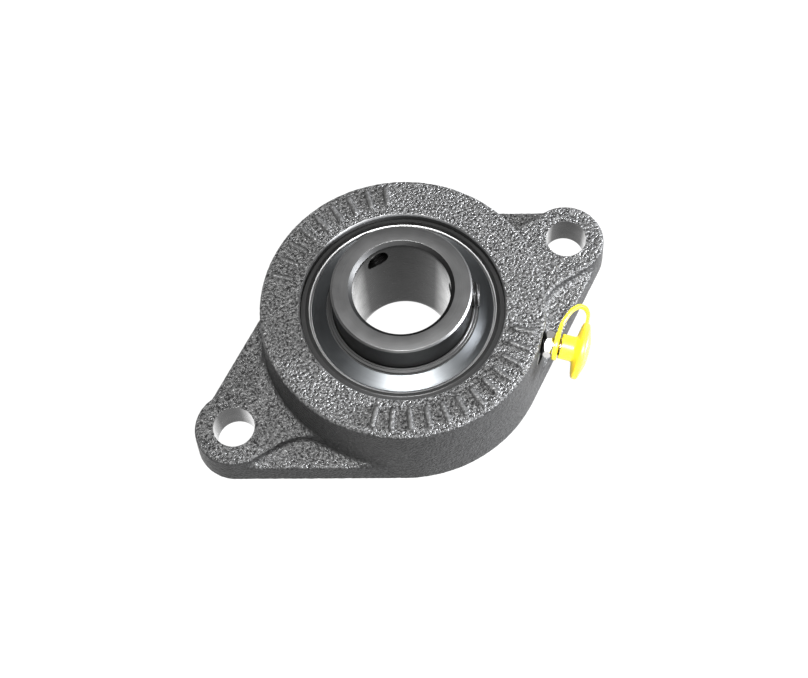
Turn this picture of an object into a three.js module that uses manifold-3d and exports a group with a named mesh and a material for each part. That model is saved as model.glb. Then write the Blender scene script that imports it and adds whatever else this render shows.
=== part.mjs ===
// Two-bolt flange mount bearing: a cast-iron rhombus housing that holds a self-aligning insert ball
// bearing with a wide inner ring, two set screws and a capped grease fitting.
// Units are millimetres. +Z is the shaft axis and points out of the front, +X runs from bolt to bolt,
// and the origin is where the shaft axis meets the mounting face.

import * as THREE from 'three';
import { ConvexGeometry } from 'three/addons/geometries/ConvexGeometry.js';
import { mergeVertices } from 'three/addons/utils/BufferGeometryUtils.js';
import Module from 'manifold-3d';

const wasm = await Module();
wasm.setup();

// ---- Driving dimensions: housing casting ----
const BOLT_SPACING = 98.8;
const BOLT_HOLE_RADIUS = 5.16;
const LUG_BASE_RADIUS = 10.4;
const LUG_TOP_RADIUS = 9.9;
const LUG_HEIGHT = 9.6;
const BOSS_BASE_RADIUS = 36.4;
const BOSS_TOP_RADIUS = 35.2;
const BOSS_HEIGHT = 24.6;
const WEB_HEIGHT = 6.5;
const WEB_DRAFT = 0.5;
const FLARE_RADIUS = 7;
const MOUTH_RADIUS = 25.2;
const MOUTH_CHAMFER = 0.8;
const BACK_BORE_RADIUS = 23.6;
const LOADING_SLOT_WIDTH = 15.6;
const LOADING_SLOT_RADIUS = 26.3;

// ---- Driving dimensions: insert bearing, measured from its own centre ----
const INSERT_CENTRE_Z = 15.4;
const SPHERE_RADIUS = 26;
const SEAT_CLEARANCE = 0.12;
const OUTER_RING_HALF_WIDTH = 7.5;
const OUTER_RING_CHAMFER = 0.7;
const OUTER_FACE_RADIUS = 23.9;
const OUTER_LAND_RADIUS = 21.9;
const SHROUD_SEAT_RADIUS = 22.65;
const SHROUD_SEAT_DEPTH = 1.3;
const GREASE_GROOVE_DEPTH = 0.8;
const GREASE_GROOVE_HEIGHTS = [1.9, 5];
const RING_OIL_HOLE_RADIUS = 0.8;
const RING_OIL_HOLE_HEIGHT = 4.6;
const INNER_RING_RADIUS = 17.07;
const INNER_RING_FRONT = 18.03;
const INNER_RING_BACK = -14.2;
const SHAFT_BORE_RADIUS = 11.906;
const BORE_CHAMFER = 0.95;
const RIM_CHAMFER = 0.45;
const BALL_RADIUS = 3.969;
const BALL_COUNT = 9;
const PITCH_RADIUS = 19.5;
const GROOVE_RADIUS = 4.08;
const CAGE_POCKET_RADIUS = 4.12;
const CAGE_INNER_RADIUS = 19.3;
const CAGE_OUTER_RADIUS = 21.5;
const CAGE_BACK = -5;
const CAGE_FRONT = 2;

// ---- Driving dimensions: seals ----
const SHROUD_RIM_RADIUS = 22.4;
const SHROUD_FRONT = 7.2;
const SHROUD_INNER_RADIUS = 18.7;
const SHROUD_CROWN = 1.2;
const SHEET_THICKNESS = 0.42;
const FELT_INNER_RADIUS = 17.3;
const FELT_OUTER_RADIUS = 20.6;
const FELT_THICKNESS = 0.85;
const FELT_GAP = 0.15;
const FLINGER_INNER_RADIUS = 17.2;
const FLINGER_SLEEVE_RADIUS = 17.7;
const FLINGER_FLANGE_RADIUS = 18.4;
const FLINGER_BACK = 8.6;
const FLINGER_FRONT = 9.3;

// ---- Driving dimensions: locking pin and set screws ----
const PIN_AZIMUTH = THREE.MathUtils.degToRad(135);
const PIN_RADIUS = 1.5;
const PIN_INNER_END = 24.7;
const PIN_OUTER_END = 28.3;
const PIN_CLEARANCE = 0.25;
const PIN_SLOT_HALF_HEIGHT = 2.75;
const SCREW_AZIMUTHS = [88, -30].map((degrees) => THREE.MathUtils.degToRad(degrees));
const SCREW_HEIGHT = 12.6;
const SCREW_RADIUS = 2.75;
const SCREW_HOLE_RADIUS = 3;
const SCREW_TIP = 13.7;
const SCREW_LENGTH = 5.1;
const SOCKET_ACROSS_FLATS = 3.175;
const SOCKET_DEPTH = 2.4;

// ---- Driving dimensions: grease fitting, measured outwards from the shaft axis ----
const FITTING_AZIMUTH = THREE.MathUtils.degToRad(-45);
const FITTING_Z = 18.5;
const OIL_HOLE_RADIUS = 1.5;
const THREAD_RADIUS = 3.1;
const THREAD_HOLE_RADIUS = 3.4;
const THREAD_START = 29.3;
const SPOT_FACE_RADIUS = 5.6;
const SPOT_FACE = 35;
const HEX_ACROSS_FLATS = 5.8;
const HEX_START = 36.2;
const HEX_END = 37.8;
const NECK_RADIUS = 2.3;
const WAIST_RADIUS = 1.85;
const NIPPLE_END = 42.9;
const NIPPLE_BORE_RADIUS = 1.3;
const NIPPLE_MOUTH_RADIUS = 0.6;
const CHECK_BALL_RADIUS = 1;
const CHECK_BALL_CENTRE = 40.4;
const CHECK_SEAT = 40.9;
const SPRING_RADIUS = 0.85;
const SPRING_WIRE_RADIUS = 0.2;
const SPRING_START = 33;
const SPRING_TURNS = 5;

// ---- Driving dimensions: dust cap with its strap and ring ----
const CAP_STEM_RADIUS = 3.3;
const CAP_CAVITY_RADIUS = 2.65;
const CAP_START = 39.6;
const CAP_DISC_START = 43.5;
const CAP_DISC_RADIUS = 7.1;
const CAP_END = 46.1;
const CAP_EDGE = 0.5;
const CAP_RING_INNER_RADIUS = 2.6;
const CAP_RING_OUTER_RADIUS = 3.6;
const CAP_RING_START = 38;
const CAP_RING_END = 39.2;
const STRAP_WIDTH = 1.6;
const STRAP_THICKNESS = 1;
// The strap's route as [distance from the shaft axis, sideways distance from the fitting's axis].
const STRAP_ROUTE = [
  [38.6, 4.5], [38.9, 6.2], [39.6, 8.3], [40.6, 10.4],
  [42.2, 11.9], [43.9, 11.6], [44.7, 10], [44.8, 8],
];

// ---- Fineness of the round shapes ----
const HOUSING_SEGMENTS = 64;
const FLARE_STEPS = 6;
const RING_SEGMENTS = 48;
const SEAL_SEGMENTS = 40;
const SMALL_SEGMENTS = 24;
const FINE_SEGMENTS = 12;
const BALL_RINGS = 8;
const ARC_STEPS = 7;
const SHORT_ARC_STEPS = 3;
const COIL_STEPS = 8;
const OVERRUN = 2;

// ---- Materials ----
const paint = (color, roughness, metalness) => new THREE.MeshStandardMaterial({ color, roughness, metalness });
const castIron = paint(0x5c5d60, 0.6, 0.3);
const darkSteel = paint(0x55575a, 0.35, 0.9);
const groundSteel = paint(0x8b8d90, 0.3, 0.95);
const zincSheet = paint(0xc4cad0, 0.22, 1);
const blackSteel = paint(0x1c1c1e, 0.45, 0.8);
const felt = paint(0x2c2a28, 0.95, 0);
const cagePlastic = paint(0xd8cfb4, 0.6, 0);
const plating = paint(0xb9b6a8, 0.3, 0.95);
const yellowPlastic = paint(0xf7e63a, 0.4, 0);

// ---- Shape helpers ----

// Points of an arc in the (radius, height) plane, from one angle to the other, both in radians.
function arcPoints(centre, radius, startAngle, endAngle, steps = ARC_STEPS) {
  const clockwise = endAngle < startAngle;
  const arc = new THREE.EllipseCurve(...centre, radius, radius, startAngle, endAngle, clockwise);
  return arc.getPoints(steps).map((point) => [point.x, point.y]);
}

// A body turned about Z from a closed outline of [radius, height] corners, listed anticlockwise.
function turned(outline, segments = RING_SEGMENTS) {
  const corners = [...outline, outline[0]].map(([radius, height]) => new THREE.Vector2(radius, height));
  return new THREE.LatheGeometry(corners, segments).rotateX(Math.PI / 2);
}

// A cylinder along Z between two heights.
function cylinder(radius, bottom, top, segments = SMALL_SEGMENTS) {
  const height = top - bottom;
  const geometry = new THREE.CylinderGeometry(radius, radius, height, segments);
  return geometry.rotateX(Math.PI / 2).translate(0, 0, bottom + height / 2);
}

// A hexagonal prism along Z with two of its flats facing up and down.
function hexPrism(acrossFlats, bottom, top) {
  return cylinder(acrossFlats / Math.sqrt(3), bottom, top, 6);
}

function ball(radius) {
  return new THREE.SphereGeometry(radius, FINE_SEGMENTS, BALL_RINGS).rotateX(Math.PI / 2);
}

// Turns and lifts a geometry so that its Z axis points outwards at an azimuth.
function radialMatrix(azimuth, height) {
  const turn = new THREE.Matrix4().makeRotationFromEuler(new THREE.Euler(0, Math.PI / 2, azimuth, 'ZYX'));
  return turn.setPosition(0, 0, height);
}

function solid(geometry) {
  const bare = geometry.clone();
  bare.deleteAttribute('normal');
  bare.deleteAttribute('uv');
  const merged = mergeVertices(bare);
  return new wasm.Manifold(new wasm.Mesh({
    numProp: 3,
    vertProperties: Float32Array.from(merged.attributes.position.array),
    triVerts: Uint32Array.from(merged.index.array),
  }));
}

function geometryOf(manifold) {
  const { vertProperties, triVerts } = manifold.getMesh();
  const geometry = new THREE.BufferGeometry();
  geometry.setAttribute('position', new THREE.BufferAttribute(vertProperties, 3));
  geometry.setIndex(new THREE.BufferAttribute(triVerts, 1));
  const faceted = geometry.toNonIndexed();
  faceted.computeVertexNormals();
  return faceted;
}

const join = (...geometries) => geometryOf(geometries.map(solid).reduce((whole, piece) => whole.add(piece)));
const cut = (body, ...tools) => geometryOf(tools.map(solid).reduce((rest, tool) => rest.subtract(tool), solid(body)));
const overlapOf = (first, second) => geometryOf(solid(first).intersect(solid(second)));

function named(name, geometry, material) {
  const mesh = new THREE.Mesh(geometry, material);
  mesh.name = name;
  return mesh;
}

// ---- Housing ----

const boltCentres = [-BOLT_SPACING / 2, BOLT_SPACING / 2];

function circlePoints(x, radius, z, segments) {
  return Array.from({ length: segments }, (_, index) => {
    const angle = (2 * Math.PI * index) / segments;
    return new THREE.Vector3(x + radius * Math.cos(angle), radius * Math.sin(angle), z);
  });
}

// The low web that runs tangent from the boss to both lugs, with drafted sides.
function webPlate() {
  const layer = (shrink, z) => [
    ...circlePoints(0, BOSS_BASE_RADIUS - shrink, z, HOUSING_SEGMENTS),
    ...boltCentres.flatMap((x) => circlePoints(x, LUG_BASE_RADIUS - shrink, z, SMALL_SEGMENTS)),
  ];
  return new ConvexGeometry([...layer(0, 0), ...layer(WEB_DRAFT, WEB_HEIGHT)]);
}

// The straight bar from lug to lug that stands higher than the web.
function lugBar() {
  const layer = (radius, z) => boltCentres.flatMap((x) => circlePoints(x, radius, z, SMALL_SEGMENTS));
  return new ConvexGeometry([...layer(LUG_BASE_RADIUS, 0), ...layer(LUG_TOP_RADIUS, LUG_HEIGHT)]);
}

// One of the four corners where the bar widens in a curve into the boss.
function barFlare([signX, signY]) {
  const centreY = LUG_TOP_RADIUS + FLARE_RADIUS;
  const centreX = Math.sqrt((BOSS_TOP_RADIUS + FLARE_RADIUS) ** 2 - centreY ** 2);
  const towardsBoss = Math.atan2(-centreY, -centreX);
  const curve = arcPoints([centreX, centreY], FLARE_RADIUS, -Math.PI / 2, towardsBoss, FLARE_STEPS);
  const [bossX] = curve[curve.length - 1];
  const root = LUG_TOP_RADIUS - OVERRUN;
  const outline = [[bossX - OVERRUN, root], [centreX, root], ...curve, [bossX - OVERRUN, LUG_TOP_RADIUS]];
  const shape = new THREE.Shape(outline.map(([x, y]) => new THREE.Vector2(signX * x, signY * y)));
  const bottom = WEB_HEIGHT - OVERRUN;
  const flare = new THREE.ExtrudeGeometry(shape, { depth: LUG_HEIGHT - bottom, bevelEnabled: false });
  return flare.translate(0, 0, bottom);
}

function boss() {
  const outline = [[0, 0], [BOSS_BASE_RADIUS, 0], [BOSS_TOP_RADIUS, BOSS_HEIGHT], [0, BOSS_HEIGHT]];
  return turned(outline, HOUSING_SEGMENTS);
}

// The spherical seat with its open mouth in front and its bore behind.
function pocketTool() {
  const seatRadius = SPHERE_RADIUS + SEAT_CLEARANCE;
  const backAngle = -Math.acos(BACK_BORE_RADIUS / seatRadius);
  const mouthAngle = Math.acos(MOUTH_RADIUS / seatRadius);
  return turned([
    [0, -OVERRUN],
    [BACK_BORE_RADIUS, -OVERRUN],
    ...arcPoints([0, INSERT_CENTRE_Z], seatRadius, backAngle, mouthAngle),
    [MOUTH_RADIUS, BOSS_HEIGHT - MOUTH_CHAMFER],
    [MOUTH_RADIUS + MOUTH_CHAMFER, BOSS_HEIGHT],
    [MOUTH_RADIUS + MOUTH_CHAMFER, BOSS_HEIGHT + OVERRUN],
    [0, BOSS_HEIGHT + OVERRUN],
  ]);
}

// Two slots in the back bore let the insert go in edge-on before it is swung into the seat.
function loadingSlotTool() {
  const round = cylinder(LOADING_SLOT_RADIUS, -OVERRUN, INSERT_CENTRE_Z, RING_SEGMENTS);
  const length = 2 * LOADING_SLOT_RADIUS + OVERRUN;
  return overlapOf(round, new THREE.BoxGeometry(length, LOADING_SLOT_WIDTH, 4 * INSERT_CENTRE_Z));
}

// The radial passage for grease, its threaded mouth and its spot face.
function greasePassageTool() {
  const outline = [
    [0, SPHERE_RADIUS - OVERRUN],
    [OIL_HOLE_RADIUS, SPHERE_RADIUS - OVERRUN],
    [OIL_HOLE_RADIUS, THREAD_START - PIN_CLEARANCE],
    [THREAD_HOLE_RADIUS, THREAD_START - PIN_CLEARANCE],
    [THREAD_HOLE_RADIUS, SPOT_FACE],
    [SPOT_FACE_RADIUS, SPOT_FACE],
    [SPOT_FACE_RADIUS, CAP_END],
    [0, CAP_END],
  ];
  return turned(outline, SMALL_SEGMENTS).applyMatrix4(radialMatrix(FITTING_AZIMUTH, FITTING_Z));
}

// The upright slot in the seat in which the locking pin rides as the insert rocks.
function pinSlotTool() {
  const inner = SPHERE_RADIUS - OVERRUN;
  const outer = PIN_OUTER_END + 2 * PIN_CLEARANCE;
  const slot = new THREE.BoxGeometry(2 * PIN_SLOT_HALF_HEIGHT, 2 * (PIN_RADIUS + PIN_CLEARANCE), outer - inner);
  return slot.translate(0, 0, (inner + outer) / 2).applyMatrix4(radialMatrix(PIN_AZIMUTH, INSERT_CENTRE_Z));
}

function housing() {
  const flares = [[1, 1], [-1, 1], [-1, -1], [1, -1]].map(barFlare);
  const casting = join(webPlate(), lugBar(), boss(), ...flares);
  const boltHoles = boltCentres.map((x) => {
    return cylinder(BOLT_HOLE_RADIUS, -OVERRUN, LUG_HEIGHT + OVERRUN, SMALL_SEGMENTS).translate(x, 0, 0);
  });
  const machined = [...boltHoles, pocketTool(), loadingSlotTool(), greasePassageTool(), pinSlotTool()];
  return named('housing', cut(casting, ...machined), castIron);
}

// ---- Insert bearing ----

// Half the height of a ball groove where it breaks out of a land of the given radius.
const grooveHalfHeight = (landRadius) => Math.sqrt(GROOVE_RADIUS ** 2 - (landRadius - PITCH_RADIUS) ** 2);

function outerRing() {
  const shoulder = OUTER_RING_HALF_WIDTH - OUTER_RING_CHAMFER;
  const step = OUTER_RING_HALF_WIDTH - SHROUD_SEAT_DEPTH;
  const grooveAngle = Math.atan2(grooveHalfHeight(OUTER_LAND_RADIUS), OUTER_LAND_RADIUS - PITCH_RADIUS);
  const shoulderAngle = Math.asin(shoulder / SPHERE_RADIUS);
  const [grooveStart, grooveEnd] = GREASE_GROOVE_HEIGHTS;
  const startAngle = Math.asin(grooveStart / SPHERE_RADIUS);
  const endAngle = Math.asin(grooveEnd / SPHERE_RADIUS);
  const ring = turned([
    ...arcPoints([0, 0], SPHERE_RADIUS, -shoulderAngle, startAngle, SHORT_ARC_STEPS),
    [SPHERE_RADIUS * Math.cos(startAngle) - GREASE_GROOVE_DEPTH, grooveStart],
    [SPHERE_RADIUS * Math.cos(endAngle) - GREASE_GROOVE_DEPTH, grooveEnd],
    ...arcPoints([0, 0], SPHERE_RADIUS, endAngle, shoulderAngle, 1),
    [OUTER_FACE_RADIUS, OUTER_RING_HALF_WIDTH],
    [SHROUD_SEAT_RADIUS, OUTER_RING_HALF_WIDTH],
    [SHROUD_SEAT_RADIUS, step],
    [OUTER_LAND_RADIUS, step],
    ...arcPoints([PITCH_RADIUS, 0], GROOVE_RADIUS, grooveAngle, -grooveAngle),
    [OUTER_LAND_RADIUS, -step],
    [SHROUD_SEAT_RADIUS, -step],
    [SHROUD_SEAT_RADIUS, -OUTER_RING_HALF_WIDTH],
    [OUTER_FACE_RADIUS, -OUTER_RING_HALF_WIDTH],
  ]);
  const dimple = cylinder(PIN_RADIUS + PIN_CLEARANCE, PIN_INNER_END - PIN_CLEARANCE, SPHERE_RADIUS + OVERRUN);
  const oilHole = cylinder(RING_OIL_HOLE_RADIUS, OUTER_LAND_RADIUS - OVERRUN, SPHERE_RADIUS, FINE_SEGMENTS);
  return named('outer_ring', cut(
    ring,
    dimple.applyMatrix4(radialMatrix(PIN_AZIMUTH, 0)),
    oilHole.applyMatrix4(radialMatrix(FITTING_AZIMUTH, RING_OIL_HOLE_HEIGHT)),
  ), darkSteel);
}

function innerRing() {
  const halfGroove = grooveHalfHeight(INNER_RING_RADIUS);
  const grooveAngle = Math.atan2(halfGroove, INNER_RING_RADIUS - PITCH_RADIUS);
  const ring = turned([
    [SHAFT_BORE_RADIUS, INNER_RING_BACK + BORE_CHAMFER],
    [SHAFT_BORE_RADIUS + BORE_CHAMFER, INNER_RING_BACK],
    [INNER_RING_RADIUS - RIM_CHAMFER, INNER_RING_BACK],
    [INNER_RING_RADIUS, INNER_RING_BACK + RIM_CHAMFER],
    ...arcPoints([PITCH_RADIUS, 0], GROOVE_RADIUS, 2 * Math.PI - grooveAngle, grooveAngle),
    [INNER_RING_RADIUS, INNER_RING_FRONT - RIM_CHAMFER],
    [INNER_RING_RADIUS - RIM_CHAMFER, INNER_RING_FRONT],
    [SHAFT_BORE_RADIUS + BORE_CHAMFER, INNER_RING_FRONT],
    [SHAFT_BORE_RADIUS, INNER_RING_FRONT - BORE_CHAMFER],
  ]);
  const screwHoles = SCREW_AZIMUTHS.map((azimuth) => {
    const hole = cylinder(SCREW_HOLE_RADIUS, SHAFT_BORE_RADIUS - OVERRUN, INNER_RING_RADIUS + OVERRUN);
    return hole.applyMatrix4(radialMatrix(azimuth, SCREW_HEIGHT));
  });
  return named('inner_ring', cut(ring, ...screwHoles), groundSteel);
}

function balls() {
  return Array.from({ length: BALL_COUNT }, (_, index) => {
    const angle = (2 * Math.PI * index) / BALL_COUNT;
    const mesh = named(`ball_${index + 1}`, ball(BALL_RADIUS), groundSteel);
    mesh.position.set(PITCH_RADIUS * Math.cos(angle), PITCH_RADIUS * Math.sin(angle), 0);
    return mesh;
  });
}

// A one-piece snap-in cage: a ring whose open pockets hold the balls apart.
function ballCage() {
  const ring = turned([
    [CAGE_INNER_RADIUS, CAGE_BACK],
    [CAGE_OUTER_RADIUS, CAGE_BACK],
    [CAGE_OUTER_RADIUS, CAGE_FRONT],
    [CAGE_INNER_RADIUS, CAGE_FRONT],
  ], 4 * BALL_COUNT);
  const pockets = balls().map((mesh) => ball(CAGE_POCKET_RADIUS).translate(...mesh.position.toArray()));
  return named('ball_cage', cut(ring, ...pockets), cagePlastic);
}

// ---- Seals ----

const SHROUD_BEND = SHROUD_RIM_RADIUS - SHEET_THICKNESS;
const SHROUD_SLOPE = SHROUD_CROWN / (SHROUD_BEND - SHROUD_INNER_RADIUS);
const shroudHeight = (radius) => SHROUD_FRONT + SHROUD_SLOPE * (SHROUD_BEND - radius);

// The sheet-metal cover pressed into the outer ring, which rises in a cone from its flat rim.
function sealShroud() {
  const edge = shroudHeight(SHROUD_INNER_RADIUS);
  return turned([
    [SHROUD_INNER_RADIUS, edge - SHEET_THICKNESS],
    [SHROUD_BEND, SHROUD_FRONT - SHEET_THICKNESS],
    [SHROUD_RIM_RADIUS, SHROUD_FRONT - SHEET_THICKNESS],
    [SHROUD_RIM_RADIUS, SHROUD_FRONT],
    [SHROUD_BEND, SHROUD_FRONT],
    [SHROUD_INNER_RADIUS, edge],
  ], SEAL_SEGMENTS);
}

// The felt washer behind the shroud, which wipes the inner ring.
function feltRing() {
  const top = (radius) => shroudHeight(radius) - SHEET_THICKNESS - FELT_GAP;
  return turned([
    [FELT_INNER_RADIUS, top(FELT_INNER_RADIUS) - FELT_THICKNESS],
    [FELT_OUTER_RADIUS, top(FELT_OUTER_RADIUS) - FELT_THICKNESS],
    [FELT_OUTER_RADIUS, top(FELT_OUTER_RADIUS)],
    [FELT_INNER_RADIUS, top(FELT_INNER_RADIUS)],
  ], SEAL_SEGMENTS);
}

// The stamped sleeve and flange on the inner ring that throws dirt clear of the seal.
function flinger() {
  return turned([
    [FLINGER_INNER_RADIUS, FLINGER_BACK],
    [FLINGER_FLANGE_RADIUS, FLINGER_BACK],
    [FLINGER_FLANGE_RADIUS, FLINGER_BACK + SHEET_THICKNESS],
    [FLINGER_SLEEVE_RADIUS, FLINGER_BACK + SHEET_THICKNESS],
    [FLINGER_SLEEVE_RADIUS, FLINGER_FRONT],
    [FLINGER_INNER_RADIUS, FLINGER_FRONT],
  ], SEAL_SEGMENTS);
}

// One end's seal, named after that end. The back seal is the front one turned over.
function sealSet(end, turn) {
  const group = new THREE.Group();
  group.rotation.x = turn;
  group.add(
    named(`${end}_seal_shroud`, sealShroud(), zincSheet),
    named(`${end}_felt_ring`, feltRing(), felt),
    named(`${end}_flinger`, flinger(), blackSteel),
  );
  return group;
}

// ---- Locking pin and set screws ----

// A group whose Z axis points outwards from the shaft axis at an azimuth and a height.
function radialGroup(azimuth, height, ...meshes) {
  const group = new THREE.Group();
  group.rotation.set(0, Math.PI / 2, azimuth, 'ZYX');
  group.position.z = height;
  group.add(...meshes);
  return group;
}

function lockingPin() {
  const pin = named('locking_pin', cylinder(PIN_RADIUS, PIN_INNER_END, PIN_OUTER_END), darkSteel);
  return radialGroup(PIN_AZIMUTH, 0, pin);
}

// A cup-point socket set screw with its hexagon socket facing outwards.
function setScrew(azimuth, index) {
  const end = SCREW_TIP + SCREW_LENGTH;
  const body = cylinder(SCREW_RADIUS, SCREW_TIP, end);
  const socket = hexPrism(SOCKET_ACROSS_FLATS, end - SOCKET_DEPTH, end + OVERRUN);
  const screw = named(`set_screw_${index + 1}`, cut(body, socket), blackSteel);
  return radialGroup(azimuth, SCREW_HEIGHT, screw);
}

function insertBearing() {
  const group = new THREE.Group();
  group.position.z = INSERT_CENTRE_Z;
  group.add(
    outerRing(),
    innerRing(),
    ...balls(),
    ballCage(),
    sealSet('front', 0),
    sealSet('back', Math.PI),
    lockingPin(),
    ...SCREW_AZIMUTHS.map(setScrew),
  );
  return group;
}

// ---- Grease fitting ----

// The screwed-in nipple with its through bore.
function greaseFitting() {
  const headStart = NIPPLE_END - NECK_RADIUS;
  const stem = turned([
    [0, THREAD_START],
    [THREAD_RADIUS, THREAD_START],
    [THREAD_RADIUS, HEX_START],
    [NECK_RADIUS, HEX_START],
    [NECK_RADIUS, CAP_RING_END],
    [WAIST_RADIUS, CAP_RING_END + SHEET_THICKNESS],
    [NECK_RADIUS, headStart],
    [WAIST_RADIUS, NIPPLE_END - SHEET_THICKNESS],
    [WAIST_RADIUS - SHEET_THICKNESS, NIPPLE_END],
    [0, NIPPLE_END],
  ], SMALL_SEGMENTS);
  const bore = turned([
    [0, THREAD_START - OVERRUN],
    [NIPPLE_BORE_RADIUS, THREAD_START - OVERRUN],
    [NIPPLE_BORE_RADIUS, CHECK_SEAT],
    [NIPPLE_MOUTH_RADIUS, CHECK_SEAT + NIPPLE_BORE_RADIUS - NIPPLE_MOUTH_RADIUS],
    [NIPPLE_MOUTH_RADIUS, NIPPLE_END + OVERRUN],
    [0, NIPPLE_END + OVERRUN],
  ], SMALL_SEGMENTS);
  const body = join(stem, hexPrism(HEX_ACROSS_FLATS, HEX_START, HEX_END));
  return named('grease_fitting', cut(body, bore), plating);
}

function checkBall() {
  const mesh = named('grease_check_ball', ball(CHECK_BALL_RADIUS), groundSteel);
  mesh.position.z = CHECK_BALL_CENTRE;
  return mesh;
}

function checkSpring() {
  const length = CHECK_BALL_CENTRE - CHECK_BALL_RADIUS - SHEET_THICKNESS - SPRING_START;
  const steps = SPRING_TURNS * COIL_STEPS;
  const turns = Array.from({ length: steps + 1 }, (_, step) => {
    const angle = (2 * Math.PI * step) / COIL_STEPS;
    const height = SPRING_START + (length * step) / steps;
    return new THREE.Vector3(SPRING_RADIUS * Math.cos(angle), SPRING_RADIUS * Math.sin(angle), height);
  });
  const wire = new THREE.Shape().absarc(0, 0, SPRING_WIRE_RADIUS, 0, 2 * Math.PI);
  const coil = new THREE.ExtrudeGeometry(wire, {
    extrudePath: new THREE.CatmullRomCurve3(turns),
    steps,
    curveSegments: 3,
    bevelEnabled: false,
  });
  return named('grease_check_spring', coil, groundSteel);
}

// ---- Dust cap, strap and ring ----

function greaseCap() {
  const outline = [
    [CAP_CAVITY_RADIUS, CAP_START],
    [CAP_STEM_RADIUS, CAP_START],
    [CAP_STEM_RADIUS, CAP_DISC_START],
    [CAP_DISC_RADIUS - CAP_EDGE, CAP_DISC_START],
    [CAP_DISC_RADIUS, CAP_DISC_START + CAP_EDGE],
    [CAP_DISC_RADIUS, CAP_END - 2 * CAP_EDGE],
    [CAP_DISC_RADIUS - 2 * CAP_EDGE, CAP_END - CAP_EDGE / 2],
    [CAP_STEM_RADIUS, CAP_END],
    [0, CAP_END],
    [0, CAP_DISC_START],
    [CAP_CAVITY_RADIUS, CAP_DISC_START],
  ];
  return named('grease_cap', turned(outline, SMALL_SEGMENTS), yellowPlastic);
}

function capRing() {
  return named('cap_ring', turned([
    [CAP_RING_INNER_RADIUS, CAP_RING_START],
    [CAP_RING_OUTER_RADIUS, CAP_RING_START],
    [CAP_RING_OUTER_RADIUS, CAP_RING_END],
    [CAP_RING_INNER_RADIUS, CAP_RING_END],
  ], SMALL_SEGMENTS), yellowPlastic);
}

// The thin strap that ties the cap to its ring and loops out sideways.
function capStrap() {
  const route = STRAP_ROUTE.map(([outwards, sideways]) => new THREE.Vector3(0, sideways, outwards));
  const halfWidth = STRAP_WIDTH / 2;
  const halfThickness = STRAP_THICKNESS / 2;
  const section = new THREE.Shape()
    .moveTo(-halfWidth, -halfThickness)
    .lineTo(halfWidth, -halfThickness)
    .lineTo(halfWidth, halfThickness)
    .lineTo(-halfWidth, halfThickness);
  const band = new THREE.ExtrudeGeometry(section, {
    extrudePath: new THREE.CatmullRomCurve3(route),
    steps: 4 * (STRAP_ROUTE.length - 1),
    bevelEnabled: false,
  });
  return named('cap_strap', band, yellowPlastic);
}

function greaseGroup() {
  return radialGroup(
    FITTING_AZIMUTH,
    FITTING_Z,
    greaseFitting(),
    checkBall(),
    checkSpring(),
    greaseCap(),
    capRing(),
    capStrap(),
  );
}

const flangeBearing = new THREE.Group();
flangeBearing.add(housing(), insertBearing(), greaseGroup());

export default flangeBearing;
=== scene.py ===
"""Looks of the flange mount bearing: a painted casting, a steel insert bearing, a plated grease fitting
and a yellow dust cap. All shapes are worked out in millimetres in the CAD frame: +Z is the shaft axis
and points out of the front, +X runs from bolt to bolt, and z = 0 is the mounting face."""

from math import acos, asin, atan2, ceil, cos, pi, radians, sin, sqrt, tan

import bmesh
import bpy
import numpy as np
from mathutils import Matrix, Vector, noise


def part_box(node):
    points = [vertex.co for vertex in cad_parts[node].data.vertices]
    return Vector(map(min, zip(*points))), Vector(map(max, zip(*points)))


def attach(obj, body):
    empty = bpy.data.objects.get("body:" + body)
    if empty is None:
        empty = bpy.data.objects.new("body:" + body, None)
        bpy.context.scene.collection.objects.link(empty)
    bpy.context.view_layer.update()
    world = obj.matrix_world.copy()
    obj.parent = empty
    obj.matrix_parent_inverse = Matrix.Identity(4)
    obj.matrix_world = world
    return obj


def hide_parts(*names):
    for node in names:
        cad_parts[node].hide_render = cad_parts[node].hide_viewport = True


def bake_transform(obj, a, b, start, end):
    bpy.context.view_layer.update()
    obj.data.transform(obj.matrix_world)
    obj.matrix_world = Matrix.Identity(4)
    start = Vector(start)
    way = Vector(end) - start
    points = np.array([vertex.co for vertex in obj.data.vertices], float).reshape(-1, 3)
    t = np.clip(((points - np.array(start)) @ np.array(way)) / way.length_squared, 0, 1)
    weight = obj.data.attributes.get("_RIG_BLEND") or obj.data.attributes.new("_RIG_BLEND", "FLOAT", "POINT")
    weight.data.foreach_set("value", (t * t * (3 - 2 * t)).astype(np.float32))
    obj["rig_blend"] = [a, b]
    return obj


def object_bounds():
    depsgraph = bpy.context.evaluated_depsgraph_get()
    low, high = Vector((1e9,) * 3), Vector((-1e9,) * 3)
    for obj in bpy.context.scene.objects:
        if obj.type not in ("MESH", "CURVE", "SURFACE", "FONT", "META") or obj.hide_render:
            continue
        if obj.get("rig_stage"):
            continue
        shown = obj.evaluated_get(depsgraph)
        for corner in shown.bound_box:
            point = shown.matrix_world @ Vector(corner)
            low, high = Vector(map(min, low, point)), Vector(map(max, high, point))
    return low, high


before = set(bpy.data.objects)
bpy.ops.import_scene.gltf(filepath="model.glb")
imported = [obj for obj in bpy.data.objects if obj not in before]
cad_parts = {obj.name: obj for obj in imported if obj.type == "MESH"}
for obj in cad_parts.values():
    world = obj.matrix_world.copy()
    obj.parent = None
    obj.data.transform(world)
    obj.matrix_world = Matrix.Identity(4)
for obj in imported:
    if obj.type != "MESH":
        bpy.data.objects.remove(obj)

cad_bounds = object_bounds()

MM = 0.001
TINY = 1e-6
OVERRUN = 2  # how far a cutter reaches past what it cuts


def box_mm(node):
    """The lowest and highest corners of a CAD node, in millimetres."""
    low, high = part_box(node)
    return low / MM, high / MM


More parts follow.
